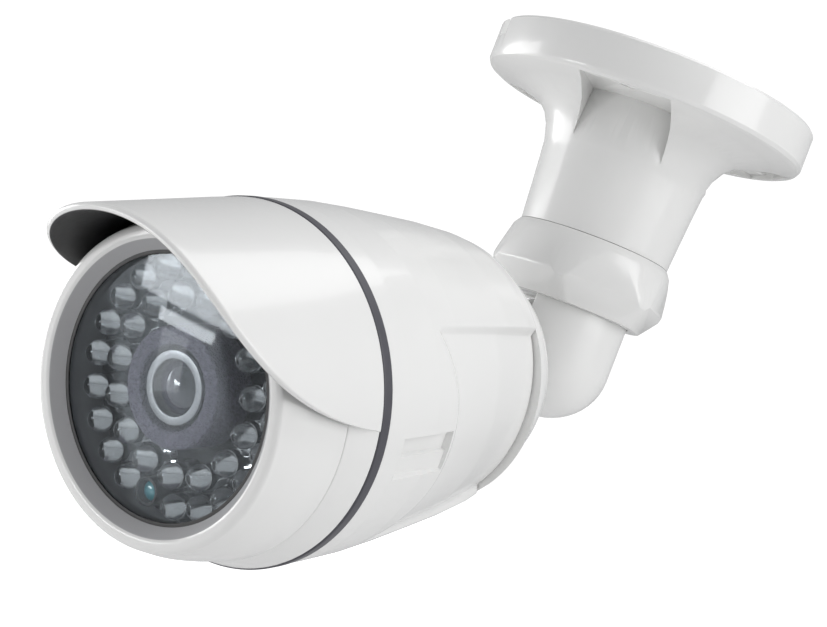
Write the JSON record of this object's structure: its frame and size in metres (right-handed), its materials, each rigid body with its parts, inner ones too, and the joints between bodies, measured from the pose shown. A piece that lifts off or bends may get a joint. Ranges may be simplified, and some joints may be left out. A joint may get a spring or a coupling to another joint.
{
  "type": "security camera",
  "caption": "White bullet security camera with a sun hood, ringed infrared lamps behind a round window, and a three-axis bracket on a round base plate.",
  "frame": {"origin": "centre of the base plate's mounting face, where the screw circle's axis meets it", "axes": "+Z out of the mounting face (up when hung from a ceiling), the head looks along -Y and 16 degrees down, +X along the tilt hinge"},
  "size_m": [0.0772, 0.1906, 0.135],
  "materials": {
    "shell": "white moulded plastic, glossy",
    "gasket": "dark grey rubber, smooth",
    "seal": "black rubber",
    "foam": "dark fine-celled foam with a grained face",
    "brass": "turned brass",
    "steel": "plated steel",
    "window": "clear polished window",
    "led_board": "black solder mask, satin",
    "lamp": "clear moulded lamp bodies",
    "sensor_window": "pale blue-green sensor face in a dark tube",
    "lens_black": "black anodised lens parts",
    "trim": "turned grey metal",
    "lens_glass": "coated lens glass",
    "filter_glass": "coated filter glass",
    "chip": "dark moulded electronic parts",
    "circuit_board": "green circuit board",
    "plug": "off-white plug and lead"
  },
  "bodies": {
    "bracket": {"mount_base": "shell", "friction_washer": "seal"},
    "collar": {"lock_collar": "shell"},
    "swivel": {"swivel_tongue": "shell", "pivot_nut": "brass", "pivot_screw": "steel", "pivot_washer": "steel"},
    "neck": {"neck_lug": "shell", "neck_retainer": "steel", "retainer_screws": "steel", "cable_grommet": "seal"},
    "head": {"cap_screws": "steel", "rear_cap": "shell", "rear_housing": "shell", "seam_gasket": "gasket", "sun_hood": "shell", "front_bezel": "shell", "window_seal": "seal", "window": "window", "led_board": "led_board", "outer_leds": "lamp", "inner_leds": "lamp", "light_sensor": "sensor_window", "foam_ring": "foam", "lens_holder": "lens_black", "holder_screws": "steel", "light_filter": "filter_glass", "image_sensor": "chip", "sensor_board": "circuit_board", "board_chips": "chip", "board_plug": "plug", "board_spacers": "brass", "spacer_screws": "steel", "board_cable": "plug"},
    "lens": {"lens_barrel": "lens_black", "lens_trim_ring": "trim", "front_lens": "lens_glass", "rear_lens": "lens_glass"}
  },
  "joints": [
    {"name": "collar_turn", "type": "hinge", "parent": "bracket", "child": "collar", "pos_m": [0, 0, -0.0494], "axis": [0, 0, 1], "range_deg": [0, 90]},
    {"name": "pan", "type": "hinge", "parent": "bracket", "child": "swivel", "pos_m": [0, 0, -0.0515], "axis": [0, 0, 1], "range_deg": [-175, 175]},
    {"name": "tilt", "type": "hinge", "parent": "swivel", "child": "neck", "pos_m": [-0.0012, 0, -0.07], "axis": [1, 0, 0], "range_deg": [-15, 72]},
    {"name": "roll", "type": "hinge", "parent": "neck", "child": "head", "pos_m": [-0.0012, 0, -0.07], "axis": [0, 0.9613, 0.2756], "range_deg": [-170, 170]},
    {"name": "focus", "type": "hinge", "parent": "head", "child": "lens", "pos_m": [-0.0012, 0, -0.07], "axis": [0, 0.9613, 0.2756], "range_deg": [-180, 180]}
  ]
}
